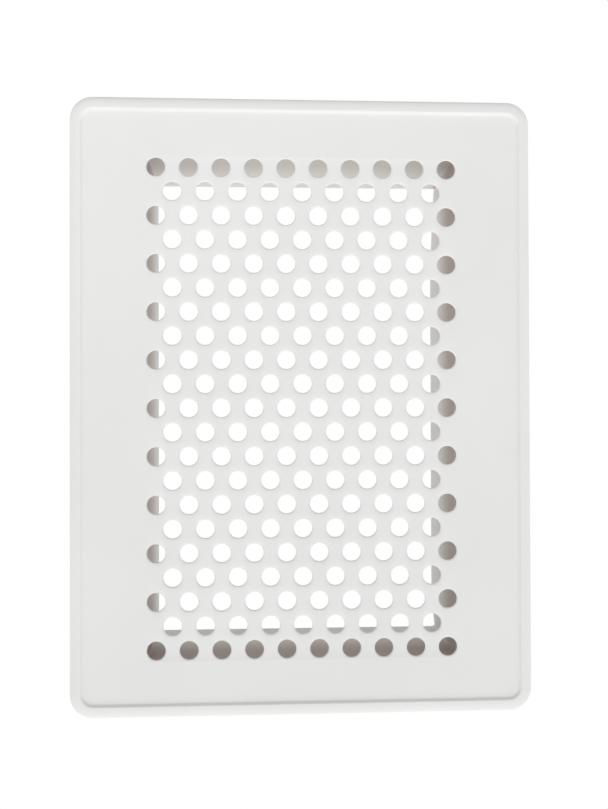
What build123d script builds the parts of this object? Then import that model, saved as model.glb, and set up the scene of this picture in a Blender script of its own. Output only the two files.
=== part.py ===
from build123d import *
import os
from math import hypot, pi, sin, sqrt

# Perforated ventilation grille: a pressed sheet-steel face plate with a bent sleeve behind it.
# Frame: millimetres, +Z up, the face looks along -Y, and the wall plane is Y = 0 at the plate's centre.

# Punched holes, in staggered rows
COLUMN_PITCH = 12.0
ROW_PITCH = 8.9
HOLE_DIAMETER = 6.9
ROW_COUNT = 21
LONG_ROW_HOLES = 10
HOLE_SIDES = 10
HOLE_FIELD_DROP = 0.6

# Face plate, pressed from one sheet
PLATE_SHEET = 1.0
PLATE_DEPTH = 8.0
PLATE_CORNER = 8.5
SIDE_BORDER = 27.9
END_BORDER = 21.45
RIM_ROUND = 1.3
RIM_BAND = 3.4
RIM_FALL = 0.4
RIM_LAND = 0.5
STEP_RUN = 0.9
STEP_DROP = 1.0
RECESS_CORNER = 6.0

# Wall sleeve, bent from one strip
SLEEVE_SHEET = 1.0
SLEEVE_LENGTH = 52.0
SLEEVE_MARGIN = 0.1
CORNER_BEND = 1.0
FLANGE_WIDTH = 10.0
FLANGE_BEND = 1.0
SEAM_GAP = 0.7

# Sizes that follow
hole_field_width = (LONG_ROW_HOLES - 1) * COLUMN_PITCH + HOLE_DIAMETER
hole_field_height = (ROW_COUNT - 1) * ROW_PITCH + HOLE_DIAMETER
plate_width = hole_field_width + 2 * SIDE_BORDER
plate_height = hole_field_height + 2 * END_BORDER
crest_front = -PLATE_DEPTH
face_front = crest_front + STEP_DROP
face_back = face_front + PLATE_SHEET
step_border = RIM_BAND + RIM_LAND
step_back_shift = PLATE_SHEET * (hypot(STEP_RUN, STEP_DROP) - STEP_RUN) / STEP_DROP
sleeve_half_width = hole_field_width / 2 + SLEEVE_MARGIN
sleeve_half_height = hole_field_height / 2 + HOLE_FIELD_DROP + SLEEVE_MARGIN
flange_outer_bend = FLANGE_BEND + SLEEVE_SHEET
wall_start = face_back + flange_outer_bend
sleeve_back = face_back + SLEEVE_LENGTH


def plate_outline(set_in):
    """Outline of the plate, set in from its edge."""
    return RectangleRounded(plate_width - 2 * set_in, plate_height - 2 * set_in, PLATE_CORNER - set_in)


def pan(set_in):
    """Solid block under the plate's front, set in from it all over, with a sloped band around its front."""
    block = extrude(Plane.XZ * plate_outline(set_in), PLATE_DEPTH - set_in)
    front = block.faces().sort_by(Axis.Y)[0]
    return chamfer(front.edges(), RIM_BAND - set_in, RIM_FALL, reference=front)


def inset_outline(set_in):
    """Outline of the plate's step, set in from the plate's edge. The recess corner is its radius at the rim."""
    corner = RECESS_CORNER + step_border - set_in
    return RectangleRounded(plate_width - 2 * set_in, plate_height - 2 * set_in, corner)


def recess(border, front):
    """Drafted recess, set in by border at its front and by one step run more at its floor."""
    mouth = Plane.XZ.offset(-front) * inset_outline(border)
    floor = Plane.XZ.offset(-front - STEP_DROP) * inset_outline(border + STEP_RUN)
    return loft(Sketch() + [mouth, floor])


def hole_centres():
    """Centres of the staggered holes, one row after another."""
    for row in range(ROW_COUNT):
        holes = LONG_ROW_HOLES - row % 2
        for column in range(holes):
            x = (column - (holes - 1) / 2) * COLUMN_PITCH
            z = (row - (ROW_COUNT - 1) / 2) * ROW_PITCH - HOLE_FIELD_DROP
            yield x, z


def punched_sheet(outline):
    """Flat sheet with all holes. Each is a polygon of its round hole's area, which keeps the many holes light."""
    corner_radius = HOLE_DIAMETER / 2 * sqrt(2 * pi / (HOLE_SIDES * sin(2 * pi / HOLE_SIDES)))
    hole = RegularPolygon(corner_radius, HOLE_SIDES).wire()
    return Face(outline.wire(), [Pos(x, z) * hole for x, z in hole_centres()])


def face_plate():
    """Pressed plate: rim turned back to the wall with a round edge, step down to the flat face, and the hole field."""
    front = pan(0)
    shoulder_edges = front.edges().filter_by_position(Axis.Y, crest_front + RIM_FALL, crest_front + RIM_FALL)
    front = fillet(shoulder_edges, RIM_ROUND)
    inside = pan(PLATE_SHEET)
    dish = recess(step_border, crest_front)
    dish_back = recess(step_border - step_back_shift, crest_front + PLATE_SHEET)
    floor = inset_outline(step_border + STEP_RUN)
    back_plane = Plane.XZ.offset(-face_back)
    rim = front - dish - (inside - dish_back) - extrude(back_plane * floor, PLATE_SHEET)
    return rim + extrude(back_plane * punched_sheet(floor), PLATE_SHEET)


def wall_plane(outward, half_span):
    """Section plane of one sleeve wall: x points out of the duct from the wall's inner face, y into the wall."""
    depth_axis = Vector(0, 1, 0)
    return Plane(origin=outward * half_span, x_dir=outward, z_dir=outward.cross(depth_axis))


def wall_section():
    """Section of a sleeve wall with the flange that is bent out against the back of the plate."""
    with BuildSketch() as section:
        with BuildLine():
            FilletPolyline(
                (FLANGE_WIDTH + SLEEVE_SHEET, face_back),
                (0, face_back),
                (0, sleeve_back),
                radius=flange_outer_bend,
            )
            offset(amount=SLEEVE_SHEET, side=Side.RIGHT)
        make_face()
    return section.sketch


def corner_bend(x_side, z_side):
    """Quarter bend that joins two walls behind the flanges."""
    centre = Pos(x_side * (sleeve_half_width - CORNER_BEND), z_side * (sleeve_half_height - CORNER_BEND))
    quarter = Pos(x_side * sleeve_half_width / 2, z_side * sleeve_half_height / 2)
    ring = Circle(CORNER_BEND + SLEEVE_SHEET) - Circle(CORNER_BEND)
    return centre * (ring & quarter * Rectangle(sleeve_half_width, sleeve_half_height))


def wall_sleeve():
    """Sleeve of one strip: four flanged walls, three bent corners and one open seam at the top right."""
    run_x = sleeve_half_width - CORNER_BEND
    run_z = sleeve_half_height - CORNER_BEND
    right_end = sleeve_half_height - SEAM_GAP
    top_end = sleeve_half_width + SLEEVE_SHEET
    walls = (
        (Vector(-1, 0, 0), sleeve_half_width, run_z, run_z),
        (Vector(0, 0, -1), sleeve_half_height, run_x, run_x),
        (Vector(1, 0, 0), sleeve_half_width, run_z, right_end),
        (Vector(0, 0, 1), sleeve_half_height, top_end, run_x),
    )
    sleeve = Part()
    for outward, half_span, back_run, front_run in walls:
        plane = wall_plane(outward, half_span).offset(-back_run)
        sleeve += extrude(plane * wall_section(), back_run + front_run)
    for x_side, z_side in ((-1, 1), (-1, -1), (1, -1)):
        bend = Plane.XZ.offset(-wall_start) * corner_bend(x_side, z_side)
        sleeve += extrude(bend, wall_start - sleeve_back)
    return sleeve


os.makedirs("parts", exist_ok=True)
for name, piece in (("face_plate", face_plate()), ("wall_sleeve", wall_sleeve())):
    export_step(piece, f"parts/{name}.step")
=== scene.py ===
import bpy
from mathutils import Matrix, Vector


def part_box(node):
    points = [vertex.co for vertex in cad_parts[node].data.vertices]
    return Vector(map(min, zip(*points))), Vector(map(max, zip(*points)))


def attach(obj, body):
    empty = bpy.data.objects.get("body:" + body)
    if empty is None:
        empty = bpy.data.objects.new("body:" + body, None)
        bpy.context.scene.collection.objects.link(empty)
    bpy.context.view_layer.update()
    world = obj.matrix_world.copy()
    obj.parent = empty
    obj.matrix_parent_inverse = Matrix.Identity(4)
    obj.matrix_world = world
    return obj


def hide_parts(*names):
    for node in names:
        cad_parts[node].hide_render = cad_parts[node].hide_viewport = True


bl_info = {
    "name": "Perforated Vent Grille",
    "version": (1, 0, 0),
    "blender": (4, 5, 0),
    "location": "3D View > Sidebar > Vent Grille",
    "description": "Finishes a perforated wall vent: coated plate, bent sleeve, weld marks and plain studio",
    "category": "Object",
}

from math import atan2, cos, pi, radians, sin, tan

import bmesh
import bpy
from bpy.props import FloatProperty, FloatVectorProperty, IntProperty, PointerProperty
from mathutils import Vector

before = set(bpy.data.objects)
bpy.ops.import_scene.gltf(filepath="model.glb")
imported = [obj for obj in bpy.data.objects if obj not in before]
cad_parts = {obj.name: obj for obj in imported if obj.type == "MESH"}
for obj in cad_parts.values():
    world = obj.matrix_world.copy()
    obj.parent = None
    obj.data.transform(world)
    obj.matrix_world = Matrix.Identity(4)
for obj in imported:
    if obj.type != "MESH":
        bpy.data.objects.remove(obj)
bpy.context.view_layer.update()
PLATE_LOW, PLATE_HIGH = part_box("face_plate")
SLEEVE_LOW, SLEEVE_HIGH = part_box("wall_sleeve")
PLATE_SIZE = PLATE_HIGH - PLATE_LOW
SLEEVE_SIZE = SLEEVE_HIGH - SLEEVE_LOW

# Points closer together than this, in metres, are one point
MERGE = 1e-6

# Edges that turn by more than this stay sharp in the shading
SHARP_TURN = radians(60)
SLEEVE_SHARP_TURN = radians(50)

# Steps around the plate's corners, the rim's outer bend, its crown and each bend of the step
CORNER_STEPS = 10
RIM_BEND_STEPS = 10
CROWN_STEPS = 6
STEP_BEND_STEPS = 5

# Shares of a quarter turn at which the rounded cut edge has its points
CUT_TURNS = (0.3, 0.6, 1.0)

# The rim is equally wide all round up to this many sheet thicknesses from the plate's edge
EVEN_EDGE = 1.5

# How near to its level, in metres, the open edge of the rim is looked for
LEVEL_SLACK = 0.00001

# Steps around the sleeve's corners and the flanges' bends, and along the depth of a wall
SLEEVE_BEND_STEPS = 8
FLANGE_BEND_STEPS = 6
WALL_STEPS = 8

# Distances in metres of the strip's stations from the ends of a plain wall
END_STOPS = (0.0, 0.004, 0.008, 0.012)

# The same for the right wall, from its lower end and from the seam
LOWER_STOPS = [step * 0.003 for step in range(8)]
SEAM_STOPS = [step * 0.004 for step in range(14)]

# How far along the right wall, in metres, its far edge stands out, from the bent corner and from the seam
CORNER_REACH = 0.02
SEAM_REACH = 0.05

# Share of painted shade on the duct's walls near the plate, up to one, and what the corners add to it as
# painted corner shade
WALL_SHADE = 0.85
CORNER_SHADE = 0.15

# What the top wall, the left wall and the right wall take off that painted shade, where more light falls on
# them
OVERHEAD_LESS = 0.55
LEFT_LESS = 0.12
RIGHT_LESS = 0.05

# Share of the painted corner shade that the top left corner has
TOP_LEFT_CORNER = 0.3

# What the right wall lacks of the painted corner shade
RIGHT_CORNER_LESS = 0.6

# How far a corner undoes what the top wall takes off the painted shade
OVERHEAD_CORNER = 0.65

# How much painted shade stands in the slit of the seam, at the plate, as the shadow in the gap
SLIT_SHADE = 0.5

# A normal with less than this in Z belongs to a face that looks down
LOOKS_DOWN = -0.5

# Share of the soft clouds in the coat's tone, where fine specks have the rest
CLOUD_SHARE = 0.8

# How much finer the specks are than the grain
SPECK_RATIO = 2.3

# Flange widths from the flange's edge to the line of welds, and from the sleeve's side to the line's end
WELD_IN = 0.45
WELD_END = 2.4

# Sides of a weld mark, and the width of its top against its foot
WELD_SIDES = 20
WELD_TAPER = 0.86

# How much stronger the light from below is in front of the object than at its sides
FRONT_SHARE = 0.45

# How white the camera sees the floor, which keeps the rest for shadows
FLOOR_WHITE = 0.985

# White of the background and of the soft light
WHITE = (1.0, 1.0, 1.0, 1.0)


# Sizes and finishes that a user would change

def amount(name, description, default, **limits):
    """Number property."""
    return FloatProperty(name=name, description=description, default=default, **limits)


def length(name, description, default):
    """Length property, in metres."""
    return amount(name, description, default, min=0.0, precision=5, unit="LENGTH")


def colour(name, description, default):
    """Linear colour property."""
    return FloatVectorProperty(
        name=name, description=description, default=default, size=3, min=0.0, max=1.0, subtype="COLOR"
    )


def location(name, description, default):
    """Place property, in metres."""
    return FloatVectorProperty(
        name=name, description=description, default=default, size=3, subtype="TRANSLATION", unit="LENGTH"
    )


def number(name, description, default, least):
    """Whole number property."""
    return IntProperty(name=name, description=description, default=default, min=least)


class PlateSizes(bpy.types.PropertyGroup):
    """Sizes of the pressed face plate."""

    width: length("Width", "Outer width of the plate", PLATE_SIZE.x)
    height: length("Height", "Outer height of the plate", PLATE_SIZE.z)
    depth: length("Depth", "Distance of the rim's crest from the wall", PLATE_SIZE.y)
    sheet: length("Sheet", "Thickness of the plate's sheet", 0.001)
    corner: length("Corner", "Corner radius of the plate's outline", 0.0085)
    rim_border: length("Rim Border", "Width of the rim up to the top of the step", 0.0039)
    rim_extra: length("Rim Extra", "How much wider the rim is at the top and the bottom", 0.0004)
    rim_round: length("Rim Round", "Radius of the rim's outer bend", 0.0013)
    rim_tilt: amount("Rim Tilt", "Slope of the rim at its outer bend", radians(20), subtype="ANGLE")
    step_run: length("Step Run", "Width of the slope from the rim down to the face", 0.0008)
    step_drop: length("Step Drop", "Depth of the face behind the rim's crest", 0.001)
    recess_corner: length("Recess Corner", "Corner radius at the top of the step", 0.0048)
    crest_round: length("Crest Round", "Radius of the bend at the top of the step", 0.00045)
    foot_round: length("Foot Round", "Radius of the bend at the foot of the step", 0.00025)
    cut_round: length("Cut Round", "Rounding of the sheet's cut edge at the wall", 0.0002)


class HoleSizes(bpy.types.PropertyGroup):
    """Sizes of the punched hole field."""

    column_pitch: length("Column Pitch", "Distance between holes in a row", 0.012)
    row_pitch: length("Row Pitch", "Distance between rows", 0.0089)
    diameter: length("Diameter", "Clear diameter of a hole", 0.0069)
    drop: length("Drop", "How far the field sits below the middle of the plate", 0.0006)
    front_lip: length("Front Lip", "Rounding of the hole's edge at the front", 0.00045)
    back_lip: length("Back Lip", "Rounding of the hole's edge at the back", 0.0002)
    rows: number("Rows", "Number of rows", 21, 1)
    long_row: number("Long Row", "Holes in a long row, one more than in a short row", 10, 2)
    sides: number("Sides", "Segments around each hole", 20, 8)


class SleeveSizes(bpy.types.PropertyGroup):
    """Sizes of the sleeve that goes into the wall."""

    width: length("Width", "Width across the flanges", SLEEVE_SIZE.x)
    height: length("Height", "Height across the flanges", SLEEVE_SIZE.z)
    sheet: length("Sheet", "Thickness of the sleeve's sheet", 0.001)
    flange_width: length("Flange Width", "How far a flange stands out from its wall", 0.01)
    flange_bend: length("Flange Bend", "Inner radius of the bend between flange and wall", 0.001)
    corner_bend: length("Corner Bend", "Inner radius of the bent corners", 0.0003)
    seam_gap: length("Seam Gap", "Open gap at the seam", 0.0007)
    seam_spring: length("Seam Spring", "How far the right wall's far edge springs out at the seam", 0.0017)
    seam_lap: length("Seam Lap", "How much further the top wall reaches there", 0.0022)
    corner_spring: length("Corner Spring", "How far that edge stands out at the bent corner", 0.0013)
    cut_round: length("Cut Round", "Rounding of the sheet's cut edges", 0.00018)
    # These four place the painted shade inside the duct: the depth up to which it is full, the depth from
    # which it is gone, how much further it reaches on the left wall, and how far its darkest part reaches
    # from the corners
    painted_shade_start: length("Painted Shade Start", "Depth behind the wall up to which the inner coat is thin", 0.003)
    painted_shade_end: length("Painted Shade End", "Depth behind the wall from which the inner coat is full", 0.033)
    painted_shade_lag: length("Painted Shade Lag", "How much further the thin coat reaches on the left wall", 0.014)
    painted_shade_corner: length("Painted Shade Corner", "How far the thinnest coat reaches from the corners", 0.012)
    weld_pitch: length("Weld Pitch", "Distance between weld marks along a flange", 0.036)
    weld_size: length("Weld Size", "Diameter of a weld mark", 0.0046)
    weld_rise: length("Weld Rise", "Height of a weld mark", 0.00014)


class CoatFinish(bpy.types.PropertyGroup):
    """Colours and grain of the powder coat."""

    plate_colour: colour("Plate Colour", "Coat of the plate", (0.86, 0.86, 0.845))
    plate_shade: colour("Plate Shade", "Coat of the plate where it is thinner", (0.835, 0.835, 0.818))
    sleeve_colour: colour("Sleeve Colour", "Coat of the sleeve", (0.80, 0.79, 0.77))
    sleeve_shade: colour("Sleeve Shade", "Coat of the sleeve where it is thinner", (0.77, 0.758, 0.738))
    # Dark colour painted inside the duct as shade
    painted_shade_colour: colour("Painted Shade Colour", "Coat inside the duct, where little reached", (0.39, 0.318, 0.29))
    grain_size: length("Grain Size", "Size of the fine ripple in the coat", 0.0013)
    cloud_size: length("Cloud Size", "Size of the soft changes of tone", 0.045)


class StudioSettings(bpy.types.PropertyGroup):
    """Camera and light."""

    camera_place: location("Camera Place", "Where the camera stands", (-0.02048, -0.37663, -0.00342))
    camera_turn: FloatVectorProperty(
        name="Camera Turn",
        description="How the camera is turned",
        default=(radians(90.624), radians(0.168), radians(-3.243)),
        size=3,
        subtype="EULER",
    )
    camera_lens: amount("Camera Lens", "Focal length in millimetres on a 36 mm sensor", 44.5, min=1.0)
    floor_drop: length("Floor Drop", "Distance of the floor below the middle of the plate", 1.5)
    floor_size: length("Floor Size", "Width and depth of the floor", 0.9)
    sky_light: amount("Sky Light", "Soft light from all sides", 0.9625, min=0.0)
    sky_rise: amount("Sky Rise", "How much more light comes from below than from the sides", 0.66)
    sky_sides: amount("Sky Sides", "How much less light comes from the left and the right", 0.18)
    sky_right: amount("Sky Right", "How much more light comes from the right than from the left", 0.06)
    sky_rear: amount("Sky Rear", "How much more light comes from behind than from the sides", 0.06)
    key_light: amount("Key Light", "Soft lamp at the upper left, in front", 0.25, min=0.0, unit="POWER")
    key_place: location("Key Place", "Where the soft lamp hangs", (-0.14, -0.45, 0.33))
    key_aim: location("Key Aim", "Where the soft lamp points", (-0.02, 0.0, 0.06))
    key_size: length("Key Size", "Width and height of the soft lamp", 0.3)


# Node helpers

def node(tree, kind, inputs=None, **settings):
    """Adds a node, with its settings, and fills its inputs with values or with other nodes' outputs."""
    made = tree.nodes.new(kind)
    for name, value in settings.items():
        setattr(made, name, value)
    for key, value in (inputs or {}).items():
        if isinstance(value, bpy.types.NodeSocket):
            tree.links.new(value, made.inputs[key])
        else:
            made.inputs[key].default_value = value
    return made


def calc(tree, operation, *values):
    """Output of a Math node."""
    return node(tree, "ShaderNodeMath", dict(enumerate(values)), operation=operation).outputs[0]


def vector(tree, x=0.0, y=0.0, z=0.0):
    """Output of a Combine XYZ node."""
    return node(tree, "ShaderNodeCombineXYZ", {"X": x, "Y": y, "Z": z}).outputs[0]


def noise(tree, place, scale, detail, roughness=0.5):
    """Output of a Noise Texture node."""
    inputs = {"Vector": place, "Scale": scale, "Detail": detail, "Roughness": roughness}
    return node(tree, "ShaderNodeTexNoise", inputs).outputs[0]


def blend(tree, share, first, second):
    """Colour between two colours."""
    return node(tree, "ShaderNodeMix", {0: share, 6: first, 7: second}, data_type="RGBA").outputs[2]


def joined(tree, *parts):
    """Several geometries as one."""
    join = tree.nodes.new("GeometryNodeJoinGeometry")
    for part in parts:
        tree.links.new(part, join.inputs[0])
    return join.outputs[0]


def coated(tree, geometry, coat):
    """Geometry with its material."""
    return node(tree, "GeometryNodeSetMaterial", {"Geometry": geometry, "Material": coat}).outputs[0]


def new_tree(name, kind, inputs, outputs):
    """New node tree with named sockets, and the sockets of its input and output nodes."""
    tree = bpy.data.node_groups.new(name, kind)
    for label, socket in inputs.items():
        tree.interface.new_socket(label, in_out="INPUT", socket_type="NodeSocket" + socket)
    for label, socket in outputs.items():
        tree.interface.new_socket(label, in_out="OUTPUT", socket_type="NodeSocket" + socket)
    return tree, tree.nodes.new("NodeGroupInput").outputs, tree.nodes.new("NodeGroupOutput").inputs


# Mesh helpers

def duct_halves(sleeve):
    """Half of the duct's inner width and of its inner height."""
    half_width = sleeve.width / 2 - sleeve.flange_width - sleeve.sheet
    half_height = sleeve.height / 2 - sleeve.flange_width - sleeve.sheet
    return half_width, half_height


def new_piece(name, verts, edges, faces):
    """New object at the origin, with its mesh."""
    mesh = bpy.data.meshes.new(name)
    mesh.from_pydata(verts, edges, faces)
    piece = bpy.data.objects.new(name, mesh)
    bpy.context.scene.collection.objects.link(piece)
    return piece


def freeze(piece):
    """Makes a piece with its modifiers a plain mesh."""
    evaluated = piece.evaluated_get(bpy.context.evaluated_depsgraph_get())
    worked = bpy.data.meshes.new_from_object(evaluated)
    piece.modifiers.clear()
    blank = piece.data
    piece.data = worked
    bpy.data.meshes.remove(blank)
    worked.name = piece.name


def run_tree(piece, tree, values):
    """Puts a node tree on a piece, with its inputs, and makes the result a plain mesh."""
    modifier = piece.modifiers.new(tree.name, "NODES")
    modifier.node_group = tree
    for socket in tree.interface.items_tree:
        if socket.name in values:
            modifier[socket.identifier] = values[socket.name]
    freeze(piece)


def close_shell(piece, sharp_turn):
    """Points the faces outwards, marks the sharp edges, and evens out the shading of the flats."""
    shell = bmesh.new()
    shell.from_mesh(piece.data)
    bmesh.ops.remove_doubles(shell, verts=shell.verts, dist=MERGE)
    bmesh.ops.recalc_face_normals(shell, faces=shell.faces)
    open_edges = sum(not edge.is_manifold for edge in shell.edges)
    for face in shell.faces:
        face.smooth = True
    for edge in shell.edges:
        edge.smooth = edge.calc_face_angle(0.0) < sharp_turn
    shell.to_mesh(piece.data)
    shell.free()
    if open_edges:
        raise RuntimeError(f"{piece.name} has {open_edges} open edges")
    even = piece.modifiers.new("Even Shading", "WEIGHTED_NORMAL")
    even.keep_sharp = True
    freeze(piece)


# Finishes

def mark_painted_shade(piece):
    """Stores the painted shade inside the duct: near the plate, most in the corners, less overhead."""
    sleeve = bpy.context.scene.vent_sleeve
    half_width, half_height = duct_halves(sleeve)
    marks = piece.data.attributes.new("painted_shade", "FLOAT", "POINT")
    for vert, mark in zip(piece.data.vertices, marks.data):
        from_side = half_width - abs(vert.co.x)
        from_end = half_height - abs(vert.co.z)
        depth = vert.co.y
        if depth < SLEEVE_LOW.y - MERGE or from_end < -sleeve.sheet / 2:
            continue
        if from_side < -sleeve.sheet / 2:
            # Painted shadow in the slit under the lapping end of the top wall
            if vert.normal.z < LOOKS_DOWN and from_end < MERGE:
                mark.value = SLIT_SHADE + (1 - SLIT_SHADE) * max(depth / SLEEVE_HIGH.y, 0.0) ** 4
            continue
        # The left wall faces right, the right wall faces left and the top wall faces down; how the light
        # falls on each sets its painted shade
        left = max(vert.normal.x, 0.0)
        top = max(-vert.normal.z, 0.0)
        bend = 2 * abs(vert.normal.x * vert.normal.z)
        right = max(-vert.normal.x, 0.0) * (1 - bend)
        corner = max(1 - max(from_side, from_end) / sleeve.painted_shade_corner, 0.0) ** 2
        corner *= TOP_LEFT_CORNER if vert.co.x < 0 < vert.co.z else 1 - RIGHT_CORNER_LESS * right
        share = WALL_SHADE + CORNER_SHADE * max(corner, bend)
        share -= OVERHEAD_LESS * (top * (1 - OVERHEAD_CORNER * corner))
        share -= LEFT_LESS * (left * (1 - corner))
        share -= RIGHT_LESS * right
        # The painted shade fades with the depth, in a soft curve
        end = sleeve.painted_shade_end + sleeve.painted_shade_lag * left
        rise = min(max((depth - sleeve.painted_shade_start) / (end - sleeve.painted_shade_start), 0.0), 1.0)
        mark.value = share * (1 - rise * rise * (3 - 2 * rise))


def powder_coat_group():
    """Powder coat: a fine ripple, soft changes of tone, and a gloss that changes a little with them."""
    tree, given, result = new_tree(
        "Powder Coat",
        "ShaderNodeTree",
        {
            "Colour": "Color",
            "Shade": "Color",
            "Painted Shade Colour": "Color",
            "Painted Shade": "Float",
            "Grain Size": "Float",
            "Cloud Size": "Float",
            "Gloss Low": "Float",
            "Gloss High": "Float",
        },
        {"Colour": "Color", "Roughness": "Float", "Ripple": "Float"},
    )
    place = node(tree, "ShaderNodeTexCoord").outputs["Object"]
    grain_scale = calc(tree, "DIVIDE", 1.0, given["Grain Size"])
    cloud_scale = calc(tree, "DIVIDE", 1.0, given["Cloud Size"])
    ripple = noise(tree, place, grain_scale, detail=1.5, roughness=0.4)
    cloud = noise(tree, place, cloud_scale, detail=3.0)
    speck = noise(tree, place, calc(tree, "MULTIPLY", grain_scale, SPECK_RATIO), detail=1.0)
    spread = node(tree, "ShaderNodeMapRange", {"Value": cloud, "From Min": 0.35, "From Max": 0.65})
    cloud_part = calc(tree, "MULTIPLY", spread.outputs[0], CLOUD_SHARE)
    speck_part = calc(tree, "MULTIPLY", speck, 1 - CLOUD_SHARE)
    tone = calc(tree, "ADD", cloud_part, speck_part)
    full = blend(tree, tone, given["Shade"], given["Colour"])
    # Painted shade: the dark colour where the mesh marks it inside the duct
    tree.links.new(blend(tree, given["Painted Shade"], full, given["Painted Shade Colour"]), result["Colour"])
    gloss = node(
        tree,
        "ShaderNodeMapRange",
        {
            "Value": speck,
            "From Min": 0.3,
            "From Max": 0.7,
            "To Min": given["Gloss Low"],
            "To Max": given["Gloss High"],
        },
    )
    tree.links.new(gloss.outputs[0], result["Roughness"])
    tree.links.new(ripple, result["Ripple"])
    return tree


def coat_material(name, tint, shade, gloss, sheen, ripple_depth):
    """Coated sheet steel, with painted shade inside the duct where the mesh marks it."""
    finish = bpy.context.scene.vent_finish
    group = bpy.data.node_groups.get("Powder Coat") or powder_coat_group()
    material = bpy.data.materials.new(name)
    material.use_nodes = True
    tree = material.node_tree
    shader = tree.nodes["Principled BSDF"]
    coat = node(
        tree,
        "ShaderNodeGroup",
        node_tree=group,
        inputs={
            "Colour": (*tint, 1.0),
            "Shade": (*shade, 1.0),
            "Painted Shade Colour": (*finish.painted_shade_colour, 1.0),
            "Painted Shade": node(tree, "ShaderNodeAttribute", attribute_name="painted_shade").outputs["Fac"],
            "Grain Size": finish.grain_size,
            "Cloud Size": finish.cloud_size,
            "Gloss Low": gloss[0],
            "Gloss High": gloss[1],
        },
    ).outputs
    relief = {"Strength": 0.5, "Distance": ripple_depth, "Height": coat["Ripple"]}
    bump = node(tree, "ShaderNodeBump", relief)
    tree.links.new(coat["Colour"], shader.inputs["Base Color"])
    tree.links.new(coat["Roughness"], shader.inputs["Roughness"])
    tree.links.new(bump.outputs[0], shader.inputs["Normal"])
    shader.inputs["Specular IOR Level"].default_value = sheen
    return material


# Face plate

def rounded_ring(half_width, half_height, corner):
    """Points of a rounded rectangle, counter-clockwise."""
    points = []
    for quarter, (x_side, y_side) in enumerate(((1, 1), (-1, 1), (-1, -1), (1, -1))):
        for step in range(CORNER_STEPS + 1):
            angle = (quarter + step / CORNER_STEPS) * pi / 2
            x = x_side * (half_width - corner) + corner * cos(angle)
            y = y_side * (half_height - corner) + corner * sin(angle)
            points.append((x, y))
    return points


def rim_section(plate):
    """Section of the rim, from the front of the face over the crest to the wall, and back behind the face.

    Each entry holds the inset from the plate's outline, the height above the wall,
    and the sum of inset and corner radius.
    """
    slope = atan2(plate.step_drop, plate.step_run)
    tilt = plate.rim_tilt
    crest_reach = plate.crest_round * tan(slope / 2)
    foot_reach = plate.foot_round * tan(slope / 2)
    face = plate.depth - plate.step_drop
    step_corner = plate.recess_corner + plate.rim_border
    bend_inset = plate.rim_round * (1 - sin(tilt))
    crown = (plate.rim_border - crest_reach - bend_inset) / sin(tilt)
    shoulder = plate.depth - crown * (1 - cos(tilt))
    # Each point of the front holds its inset, height, slope and corner
    rim = [(0.0, plate.cut_round, -pi / 2, plate.corner)]
    for step in range(RIM_BEND_STEPS + 1):
        lean = pi / 2 + (tilt - pi / 2) * step / RIM_BEND_STEPS
        height = shoulder - plate.rim_round * (cos(tilt) - cos(lean))
        rim.append((plate.rim_round * (1 - sin(lean)), height, -lean, plate.corner))
    for step in range(1, CROWN_STEPS):
        lean = tilt * (1 - step / CROWN_STEPS)
        inset = bend_inset + crown * (sin(tilt) - sin(lean))
        rim.append((inset, plate.depth - crown * (1 - cos(lean)), -lean, plate.corner))
    crest = []
    foot = []
    for step in range(STEP_BEND_STEPS + 1):
        lean = slope * step / STEP_BEND_STEPS
        inset = plate.rim_border - crest_reach + plate.crest_round * sin(lean)
        crest.append((inset, plate.depth - plate.crest_round * (1 - cos(lean)), lean, step_corner))
        lean = slope - lean
        inset = plate.rim_border + plate.step_run + foot_reach - plate.foot_round * sin(lean)
        foot.append((inset, face + plate.foot_round * (1 - cos(lean)), lean, step_corner))
    foot.append((foot[-1][0] + plate.sheet, face, 0.0, step_corner))

    def behind(points):
        """Points of the rear, one sheet behind those of the front."""
        return [
            (inset - plate.sheet * sin(lean), height - plate.sheet * cos(lean), corner)
            for inset, height, lean, corner in points
        ]

    cut = []
    for turn in CUT_TURNS:
        angle = turn * pi / 2
        cut.append((plate.cut_round * (1 - cos(angle)), plate.cut_round * (1 - sin(angle))))
    section = [(inset, height, corner) for inset, height, _, corner in reversed(rim + crest + foot)]
    section += [(inset, height, plate.corner) for inset, height in cut]
    section += [(plate.sheet - inset, height, plate.corner) for inset, height in reversed(cut)]
    section += behind(rim)
    # The bend behind the crest is sharp
    crest_inset = plate.rim_border - plate.sheet * tan(slope / 2)
    section.append((crest_inset, plate.depth - plate.sheet, step_corner))
    section += behind(foot)
    return section


def rim_mesh(plate):
    """Rim of the plate, laid flat with the wall below it and open in its middle."""
    rings = []
    # The turned edge keeps its thickness, and the crown takes up the wider rim at the top and the bottom
    edge = plate.sheet * EVEN_EDGE
    for inset, height, corner in rim_section(plate):
        extra = plate.rim_extra * min(max((inset - edge) / (plate.rim_border - edge), 0.0), 1.0)
        outline = rounded_ring(plate.width / 2 - inset, plate.height / 2 - inset - extra, corner - inset)
        rings.append([(x, y, height) for x, y in outline])
    count = len(rings[0])
    verts = [point for ring in rings for point in ring]
    faces = []
    for row in range(len(rings) - 1):
        low = row * count
        high = low + count
        for place in range(count):
            after = (place + 1) % count
            faces.append((low + place, low + after, high + after, high + place))
    return verts, faces


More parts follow.
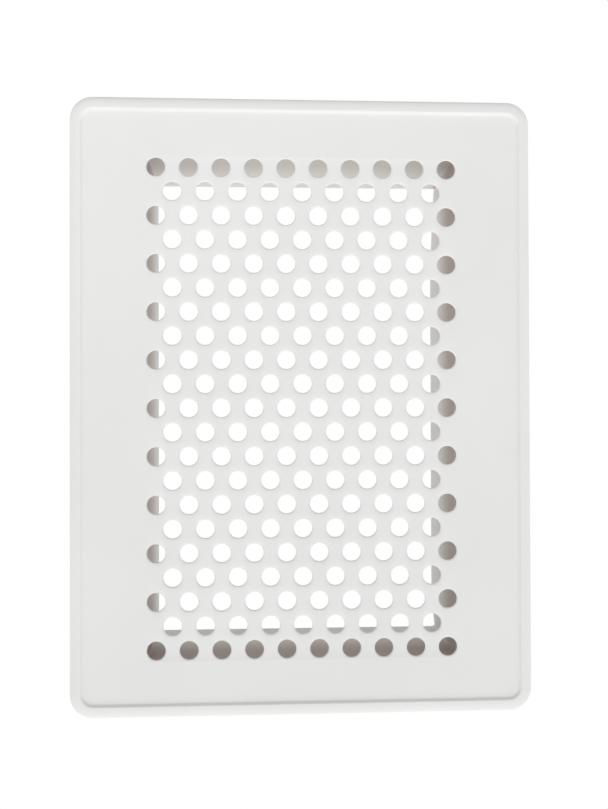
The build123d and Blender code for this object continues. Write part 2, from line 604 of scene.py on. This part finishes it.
def perforated_sheet_tree():
    """Fills the open middle of a rim with a sheet of staggered round holes, each with a softened lip."""
    tree, given, result = new_tree(
        "Perforated Sheet",
        "GeometryNodeTree",
        {
            "Rim": "Geometry",
            "Column Pitch": "Float",
            "Row Pitch": "Float",
            "Drop": "Float",
            "Rows": "Int",
            "Long Row": "Int",
            "Hole Radius": "Float",
            "Hole Sides": "Int",
            "Front Lip": "Float",
            "Back Lip": "Float",
            "Face Height": "Float",
            "Sheet": "Float",
            "Coat": "Material",
        },
        {"Plate": "Geometry"},
    )
    index = node(tree, "GeometryNodeInputIndex").outputs[0]
    # A long row and the short row after it make a pair
    pair_holes = calc(tree, "SUBTRACT", calc(tree, "MULTIPLY", given["Long Row"], 2.0), 1.0)
    pair = calc(tree, "FLOOR", calc(tree, "DIVIDE", index, pair_holes))
    place = calc(tree, "SUBTRACT", index, calc(tree, "MULTIPLY", pair, pair_holes))
    # A short row starts half a column after a long one
    short_start = calc(tree, "SUBTRACT", given["Long Row"], 0.5)
    in_short = calc(tree, "GREATER_THAN", place, short_start)
    column = calc(tree, "SUBTRACT", place, calc(tree, "MULTIPLY", in_short, short_start))
    row = calc(tree, "ADD", calc(tree, "MULTIPLY", pair, 2.0), in_short)
    middle_column = calc(tree, "MULTIPLY", calc(tree, "SUBTRACT", given["Long Row"], 1.0), 0.5)
    middle_row = calc(tree, "MULTIPLY", calc(tree, "SUBTRACT", given["Rows"], 1.0), 0.5)
    x = calc(tree, "MULTIPLY", calc(tree, "SUBTRACT", column, middle_column), given["Column Pitch"])
    y = calc(tree, "MULTIPLY", calc(tree, "SUBTRACT", row, middle_row), given["Row Pitch"])
    y = calc(tree, "SUBTRACT", y, given["Drop"])
    short_rows = calc(tree, "FLOOR", calc(tree, "MULTIPLY", given["Rows"], 0.5))
    count = calc(tree, "SUBTRACT", calc(tree, "MULTIPLY", given["Rows"], given["Long Row"]), short_rows)
    centres = node(tree, "GeometryNodePoints", {"Count": count, "Position": vector(tree, x, y)}).outputs[0]
    edge_faces = node(tree, "GeometryNodeInputMeshEdgeNeighbors").outputs[0]
    position = node(tree, "GeometryNodeInputPosition").outputs[0]
    height = node(tree, "ShaderNodeSeparateXYZ", {0: position}).outputs["Z"]
    back_height = calc(tree, "SUBTRACT", given["Face Height"], given["Sheet"])

    def circle(radius):
        """Circle with the sides of a hole."""
        inputs = {"Resolution": given["Hole Sides"], "Radius": radius}
        return node(tree, "GeometryNodeCurvePrimitiveCircle", inputs).outputs[0]

    def sheet_side(lip, level):
        """One side of the sheet, between the rim's open edge and the lips of the holes."""
        on_edge = calc(tree, "COMPARE", edge_faces, 1.0, 0.1)
        on_level = calc(tree, "COMPARE", height, level, LEVEL_SLACK)
        chosen = calc(tree, "MULTIPLY", on_edge, on_level)
        outline = node(tree, "GeometryNodeMeshToCurve", {"Mesh": given["Rim"], "Selection": chosen})
        ring = circle(calc(tree, "ADD", given["Hole Radius"], lip))
        rings = node(tree, "GeometryNodeInstanceOnPoints", {"Points": centres, "Instance": ring})
        rings = node(tree, "GeometryNodeRealizeInstances", {"Geometry": rings.outputs[0]})
        borders = joined(tree, outline.outputs[0], rings.outputs[0])
        filled = node(tree, "GeometryNodeFillCurve", {"Curve": borders}).outputs[0]
        offset = vector(tree, z=level)
        return node(tree, "GeometryNodeSetPosition", {"Geometry": filled, "Offset": offset}).outputs[0]

    # The lip's section starts at the hole's clear radius, and its axes point outwards and backwards
    section = node(
        tree,
        "GeometryNodeCurvePrimitiveQuadrilateral",
        {
            "Point 1": vector(tree, given["Front Lip"]),
            "Point 2": vector(tree, 0.0, given["Front Lip"]),
            "Point 3": vector(tree, 0.0, calc(tree, "SUBTRACT", given["Sheet"], given["Back Lip"])),
            "Point 4": vector(tree, given["Back Lip"], given["Sheet"]),
        },
        mode="POINTS",
    )
    section = node(tree, "GeometryNodeSetSplineCyclic", {"Geometry": section.outputs[0], "Cyclic": False})
    ring = circle(given["Hole Radius"])
    lip = node(tree, "GeometryNodeCurveToMesh", {"Curve": ring, "Profile Curve": section.outputs[0]})
    lift = vector(tree, z=given["Face Height"])
    raised = node(tree, "GeometryNodeSetPosition", {"Geometry": centres, "Offset": lift}).outputs[0]
    lips = node(tree, "GeometryNodeInstanceOnPoints", {"Points": raised, "Instance": lip.outputs[0]})
    front = sheet_side(given["Front Lip"], given["Face Height"])
    back = sheet_side(given["Back Lip"], back_height)
    whole = joined(tree, given["Rim"], front, back, lips.outputs[0])
    upright = node(tree, "GeometryNodeTransform", {"Geometry": whole, "Rotation": (pi / 2, 0.0, 0.0)})
    solid = node(tree, "GeometryNodeRealizeInstances", {"Geometry": upright.outputs[0]})
    merged = node(tree, "GeometryNodeMergeByDistance", {"Geometry": solid.outputs[0], "Distance": MERGE})
    tree.links.new(coated(tree, merged.outputs[0], given["Coat"]), result["Plate"])
    return tree


class VENT_OT_face_plate(bpy.types.Operator):
    """Makes the pressed and punched face plate"""

    bl_idname = "vent.face_plate"
    bl_label = "Face Plate"

    def execute(self, context):
        plate = context.scene.vent_plate
        holes = context.scene.vent_holes
        finish = context.scene.vent_finish
        coat = coat_material(
            "White Coat",
            finish.plate_colour,
            finish.plate_shade,
            gloss=(0.34, 0.42),
            sheen=0.5,
            ripple_depth=0.00002,
        )
        verts, faces = rim_mesh(plate)
        piece = new_piece("coated_plate", verts, [], faces)
        run_tree(
            piece,
            perforated_sheet_tree(),
            {
                "Column Pitch": holes.column_pitch,
                "Row Pitch": holes.row_pitch,
                "Drop": holes.drop,
                "Rows": holes.rows,
                "Long Row": holes.long_row,
                "Hole Radius": holes.diameter / 2,
                "Hole Sides": holes.sides,
                "Front Lip": holes.front_lip,
                "Back Lip": holes.back_lip,
                "Face Height": plate.depth - plate.step_drop,
                "Sheet": plate.sheet,
                "Coat": coat,
            },
        )
        mark_painted_shade(piece)
        close_shell(piece, SHARP_TURN)
        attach(piece, "root")
        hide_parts("face_plate")
        return {"FINISHED"}


# Sleeve

def sleeve_columns(sleeve):
    """Stations along the strip, from the seam at the top right round to the end of the right wall.

    Each entry holds a point on the inner face, the direction out of the duct,
    and how far the far edge stands out in X.
    """
    half_width, half_height = duct_halves(sleeve)
    run_x = half_width - sleeve.corner_bend
    run_z = half_height - sleeve.corner_bend
    seam_end = half_height - sleeve.seam_gap

    def stops(run):
        """Stations along a plain wall, closer together near its ends."""
        return [stop - run for stop in END_STOPS] + [run - stop for stop in reversed(END_STOPS)]

    sprung = [stop - run_z for stop in LOWER_STOPS] + [seam_end - stop for stop in reversed(SEAM_STOPS)]
    # Top, left, bottom and right wall, each with its direction outwards, its distance and its stations
    walls = (
        ((0, 1), half_height, [-half_width - sleeve.sheet, -half_width, *stops(run_x)]),
        ((-1, 0), half_width, stops(run_z)),
        ((0, -1), half_height, stops(run_x)),
        ((1, 0), half_width, sprung),
    )
    right_wall = len(walls) - 1
    columns = []
    for place, ((out_x, out_z), half, along) in enumerate(walls):
        for stop in along:
            base = (out_x * half - out_z * stop, out_z * half + out_x * stop)
            spring = sleeve.seam_lap if not columns else 0.0
            if place == right_wall:
                spring = sleeve.corner_spring * max(0.0, 1 - (stop + run_z) / CORNER_REACH) ** 2
                spring += sleeve.seam_spring * max(0.0, 1 - (seam_end - stop) / SEAM_REACH) ** 2
            columns.append((base, (out_x, out_z), spring))
        if place == right_wall:
            break
        # The bent corner after this wall
        centre = (base[0] - out_x * sleeve.corner_bend, base[1] - out_z * sleeve.corner_bend)
        for step in range(1, SLEEVE_BEND_STEPS):
            turn = step * pi / (2 * SLEEVE_BEND_STEPS)
            out = (out_x * cos(turn) - out_z * sin(turn), out_z * cos(turn) + out_x * sin(turn))
            point = (centre[0] + out[0] * sleeve.corner_bend, centre[1] + out[1] * sleeve.corner_bend)
            spring = sleeve.corner_spring * step / SLEEVE_BEND_STEPS if place == right_wall - 1 else 0.0
            columns.append((point, out, spring))
    return columns


def sleeve_section(sleeve):
    """Outer side of the sleeve's section: distance from the inner face, depth, and part of the strip."""
    flange = SLEEVE_LOW.y + sleeve.sheet
    rows = [(sleeve.flange_width + sleeve.sheet, flange, "flange")]
    for step in range(FLANGE_BEND_STEPS + 1):
        turn = step * pi / (2 * FLANGE_BEND_STEPS)
        out = sleeve.sheet + sleeve.flange_bend * (1 - sin(turn))
        depth = flange + sleeve.flange_bend * (1 - cos(turn))
        rows.append((out, depth, "flange" if step < FLANGE_BEND_STEPS else "wall"))
    wall_start = rows[-1][1]
    for step in range(1, WALL_STEPS + 1):
        rows.append((sleeve.sheet, wall_start + (SLEEVE_HIGH.y - wall_start) * step / WALL_STEPS, "wall"))
    return rows


def sleeve_mesh(sleeve):
    """Outer side of the folded strip, as faces that look away from the sheet."""
    columns = sleeve_columns(sleeve)
    rows = sleeve_section(sleeve)
    wall_start = next(depth for _, depth, part in rows if part == "wall")
    shell = bmesh.new()
    grid = {}

    def vert(column, row):
        """Corner of the strip at a station and a row."""
        if (column, row) not in grid:
            (x, z), (out_x, out_z), spring = columns[column]
            out, depth, _ = rows[row]
            spring *= (max(0.0, depth - wall_start) / (SLEEVE_HIGH.y - wall_start)) ** 3
            grid[column, row] = shell.verts.new((x + out_x * out + spring, depth, z + out_z * out))
        return grid[column, row]

    for column in range(len(columns) - 1):
        flat = columns[column][1] == columns[column + 1][1]
        for row in range(len(rows) - 1):
            # The flanges are notched out at the bent corners
            if "flange" in (rows[row][2], rows[row + 1][2]) and not flat:
                continue
            corners = ((column, row), (column + 1, row), (column + 1, row + 1), (column, row + 1))
            shell.faces.new([vert(*corner) for corner in corners])
    bmesh.ops.remove_doubles(shell, verts=shell.verts, dist=MERGE)
    bmesh.ops.recalc_face_normals(shell, faces=shell.faces)
    shell.faces.ensure_lookup_table()
    # The first face is the back of a flange
    if shell.faces[0].normal.y < 0:
        bmesh.ops.reverse_faces(shell, faces=shell.faces)
    mesh = bpy.data.meshes.new("coated_sleeve")
    shell.to_mesh(mesh)
    shell.free()
    return mesh


class VENT_OT_wall_sleeve(bpy.types.Operator):
    """Makes the bent wall sleeve"""

    bl_idname = "vent.wall_sleeve"
    bl_label = "Wall Sleeve"

    def execute(self, context):
        sleeve = context.scene.vent_sleeve
        finish = context.scene.vent_finish
        coat = coat_material(
            "Sleeve Coat",
            finish.sleeve_colour,
            finish.sleeve_shade,
            gloss=(0.62, 0.74),
            sheen=0.3,
            ripple_depth=0.00003,
        )
        mesh = sleeve_mesh(sleeve)
        mesh.materials.append(coat)
        piece = bpy.data.objects.new("coated_sleeve", mesh)
        context.scene.collection.objects.link(piece)
        wall = piece.modifiers.new("Sheet", "SOLIDIFY")
        wall.thickness = sleeve.sheet
        wall.offset = -1.0
        wall.use_even_offset = True
        edge = piece.modifiers.new("Cut Edges", "BEVEL")
        edge.width = sleeve.cut_round
        edge.segments = 2
        edge.limit_method = "ANGLE"
        edge.angle_limit = SLEEVE_SHARP_TURN
        freeze(piece)
        # The far edge stays within the depth of the solid that this piece replaces
        for vert in piece.data.vertices:
            vert.co.y = min(vert.co.y, SLEEVE_HIGH.y)
        mark_painted_shade(piece)
        close_shell(piece, SLEEVE_SHARP_TURN)
        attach(piece, "root")
        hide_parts("wall_sleeve")
        return {"FINISHED"}


# Weld marks

def weld_row_tree():
    """Sets shallow round weld marks along lines, facing away from the room."""
    tree, given, result = new_tree(
        "Weld Row",
        "GeometryNodeTree",
        {"Lines": "Geometry", "Pitch": "Float", "Radius": "Float", "Rise": "Float", "Coat": "Material"},
        {"Marks": "Geometry"},
    )
    path = node(tree, "GeometryNodeMeshToCurve", {"Mesh": given["Lines"]})
    stops = node(
        tree,
        "GeometryNodeResampleCurve",
        mode="LENGTH",
        inputs={"Curve": path.outputs[0], "Length": given["Pitch"]},
    )
    mark = node(
        tree,
        "GeometryNodeMeshCone",
        {
            "Vertices": WELD_SIDES,
            "Radius Top": calc(tree, "MULTIPLY", given["Radius"], WELD_TAPER),
            "Radius Bottom": given["Radius"],
            "Depth": calc(tree, "MULTIPLY", given["Rise"], 2.0),
        },
    )
    # The lower half of a mark is sunk into the flange
    sunk = vector(tree, z=calc(tree, "MULTIPLY", given["Rise"], -1.0))
    mark = node(tree, "GeometryNodeTransform", {"Geometry": mark.outputs[0], "Translation": sunk})
    marks = node(
        tree,
        "GeometryNodeInstanceOnPoints",
        {"Points": stops.outputs[0], "Instance": mark.outputs[0], "Rotation": (-pi / 2, 0.0, 0.0)},
    )
    solid = node(tree, "GeometryNodeRealizeInstances", {"Geometry": marks.outputs[0]})
    tree.links.new(coated(tree, solid.outputs[0], given["Coat"]), result["Marks"])
    return tree


class VENT_OT_weld_marks(bpy.types.Operator):
    """Makes the weld marks on the back of the sleeve's flanges"""

    bl_idname = "vent.weld_marks"
    bl_label = "Weld Marks"

    def execute(self, context):
        sleeve = context.scene.vent_sleeve
        level = SLEEVE_LOW.y + sleeve.sheet
        x = sleeve.width / 2 - sleeve.flange_width * WELD_IN
        z = sleeve.height / 2 - sleeve.flange_width * WELD_IN
        run_x = sleeve.width / 2 - sleeve.flange_width * WELD_END
        run_z = sleeve.height / 2 - sleeve.flange_width * WELD_END
        verts = []
        for side in (-1, 1):
            verts += [(side * x, level, -run_z), (side * x, level, run_z)]
            verts += [(-run_x, level, side * z), (run_x, level, side * z)]
        piece = new_piece("weld_marks", verts, [(0, 1), (2, 3), (4, 5), (6, 7)], [])
        run_tree(
            piece,
            weld_row_tree(),
            {
                "Pitch": sleeve.weld_pitch,
                "Radius": sleeve.weld_size / 2,
                "Rise": sleeve.weld_rise,
                "Coat": bpy.data.materials["Sleeve Coat"],
            },
        )
        close_shell(piece, SHARP_TURN)
        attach(piece, "root")
        return {"FINISHED"}


# Stage

def background_share(tree):
    """One for rays from the camera and for reflected and refracted rays, which see the plain background."""
    path = node(tree, "ShaderNodeLightPath").outputs
    mirrored = calc(tree, "MAXIMUM", path["Is Glossy Ray"], path["Is Transmission Ray"])
    return calc(tree, "MAXIMUM", path["Is Camera Ray"], mirrored)


def studio_world(studio):
    """Soft light from all sides, stronger from below, in front of a white background."""
    world = bpy.data.worlds.new("Studio")
    world.use_nodes = True
    tree = world.node_tree
    towards = node(tree, "ShaderNodeTexCoord").outputs["Generated"]
    direction = node(tree, "ShaderNodeSeparateXYZ", {0: towards}).outputs
    steepness = calc(tree, "MULTIPLY_ADD", direction["Y"], studio.sky_rise * FRONT_SHARE, -studio.sky_rise)
    rise = calc(tree, "MULTIPLY", direction["Z"], steepness)
    rear = calc(tree, "MULTIPLY_ADD", direction["Y"], studio.sky_rear, studio.sky_light)
    lean = calc(tree, "MULTIPLY_ADD", direction["X"], -studio.sky_sides, studio.sky_right)
    across = calc(tree, "MULTIPLY", direction["X"], lean)
    level = calc(tree, "ADD", calc(tree, "ADD", rise, rear), across)
    sky = node(tree, "ShaderNodeBackground", {"Color": WHITE, "Strength": level})
    white = node(tree, "ShaderNodeBackground", {"Color": WHITE, "Strength": 1.0})
    share = background_share(tree)
    mix = node(tree, "ShaderNodeMixShader", {0: share, 1: sky.outputs[0], 2: white.outputs[0]})
    tree.links.new(mix.outputs[0], tree.nodes["World Output"].inputs["Surface"])
    return world


def floor_material():
    """Pale floor that takes shadows and looks white behind the object."""
    material = bpy.data.materials.new("Studio Floor")
    material.use_nodes = True
    tree = material.node_tree
    paint = tree.nodes["Principled BSDF"]
    paint.inputs["Base Color"].default_value = (0.85, 0.85, 0.85, 1.0)
    paint.inputs["Roughness"].default_value = 0.9
    paint.inputs["Specular IOR Level"].default_value = 0.1
    white = node(tree, "ShaderNodeEmission", {"Color": WHITE, "Strength": 1.0})
    share = calc(tree, "MULTIPLY", background_share(tree), FLOOR_WHITE)
    mix = node(tree, "ShaderNodeMixShader", {0: share, 1: paint.outputs[0], 2: white.outputs[0]})
    tree.links.new(mix.outputs[0], tree.nodes["Material Output"].inputs["Surface"])
    return material


def key_lamp(studio):
    """Large square lamp that the camera doesn't see."""
    light = bpy.data.lights.new("key_lamp", "AREA")
    light.shape = "SQUARE"
    light.size = studio.key_size
    light.energy = studio.key_light
    lamp = bpy.data.objects.new("key_lamp", light)
    lamp.location = studio.key_place
    aim = Vector(studio.key_aim) - Vector(studio.key_place)
    lamp.rotation_euler = aim.to_track_quat("-Z", "Y").to_euler()
    lamp.visible_camera = False
    return lamp


def photo_camera(studio):
    """Camera at the photograph's viewing angle."""
    lens = bpy.data.cameras.new("Camera")
    lens.lens = studio.camera_lens
    lens.sensor_width = 36.0
    lens.clip_start = 0.01
    camera = bpy.data.objects.new("Camera", lens)
    camera.location = studio.camera_place
    camera.rotation_euler = studio.camera_turn
    return camera


class VENT_OT_studio(bpy.types.Operator):
    """Sets up the floor, the light and the camera"""

    bl_idname = "vent.studio"
    bl_label = "Studio"

    def execute(self, context):
        scene = context.scene
        studio = scene.vent_studio
        reach = studio.floor_size / 2
        sides = ((-1, -1), (1, -1), (1, 1), (-1, 1))
        corners = [(x * reach, y * reach, -studio.floor_drop) for x, y in sides]
        floor = new_piece("studio_floor", corners, [], [(0, 1, 2, 3)])
        floor.data.materials.append(floor_material())
        scene.world = studio_world(studio)
        scene.collection.objects.link(key_lamp(studio))
        camera = photo_camera(studio)
        scene.collection.objects.link(camera)
        scene.camera = camera
        scene.view_settings.view_transform = "Standard"
        return {"FINISHED"}


# Sidebar and start

class VENT_PT_sidebar(bpy.types.Panel):
    """Lists the pieces of the grille with their sizes and finishes"""

    bl_idname = "VENT_PT_sidebar"
    bl_label = "Vent Grille"
    bl_space_type = "VIEW_3D"
    bl_region_type = "UI"
    bl_category = "Vent Grille"

    def draw(self, context):
        scene = context.scene
        boxes = (
            ("Coat", (scene.vent_finish,), ()),
            ("Face plate", (scene.vent_plate, scene.vent_holes), ("vent.face_plate",)),
            ("Sleeve", (scene.vent_sleeve,), ("vent.wall_sleeve", "vent.weld_marks")),
            ("Studio", (scene.vent_studio,), ("vent.studio",)),
        )
        for label, groups, operators in boxes:
            box = self.layout.box()
            box.label(text=label)
            for group in groups:
                for name in group.__annotations__:
                    box.prop(group, name)
            for operator in operators:
                box.operator(operator)


GROUPS = {
    "vent_plate": PlateSizes,
    "vent_holes": HoleSizes,
    "vent_sleeve": SleeveSizes,
    "vent_finish": CoatFinish,
    "vent_studio": StudioSettings,
}
CLASSES = (
    *GROUPS.values(),
    VENT_OT_face_plate,
    VENT_OT_wall_sleeve,
    VENT_OT_weld_marks,
    VENT_OT_studio,
    VENT_PT_sidebar,
)


def register():
    """Adds the classes, and the settings to the scene."""
    for entry in CLASSES:
        bpy.utils.register_class(entry)
    for name, group in GROUPS.items():
        setattr(bpy.types.Scene, name, PointerProperty(type=group))


def unregister():
    """Takes the settings and the classes away again."""
    for name in GROUPS:
        delattr(bpy.types.Scene, name)
    for entry in reversed(CLASSES):
        bpy.utils.unregister_class(entry)


def main():
    """Makes the whole grille and its studio."""
    register()
    bpy.ops.vent.face_plate()
    bpy.ops.vent.wall_sleeve()
    bpy.ops.vent.weld_marks()
    bpy.ops.vent.studio()


if __name__ == "__main__":
    main()
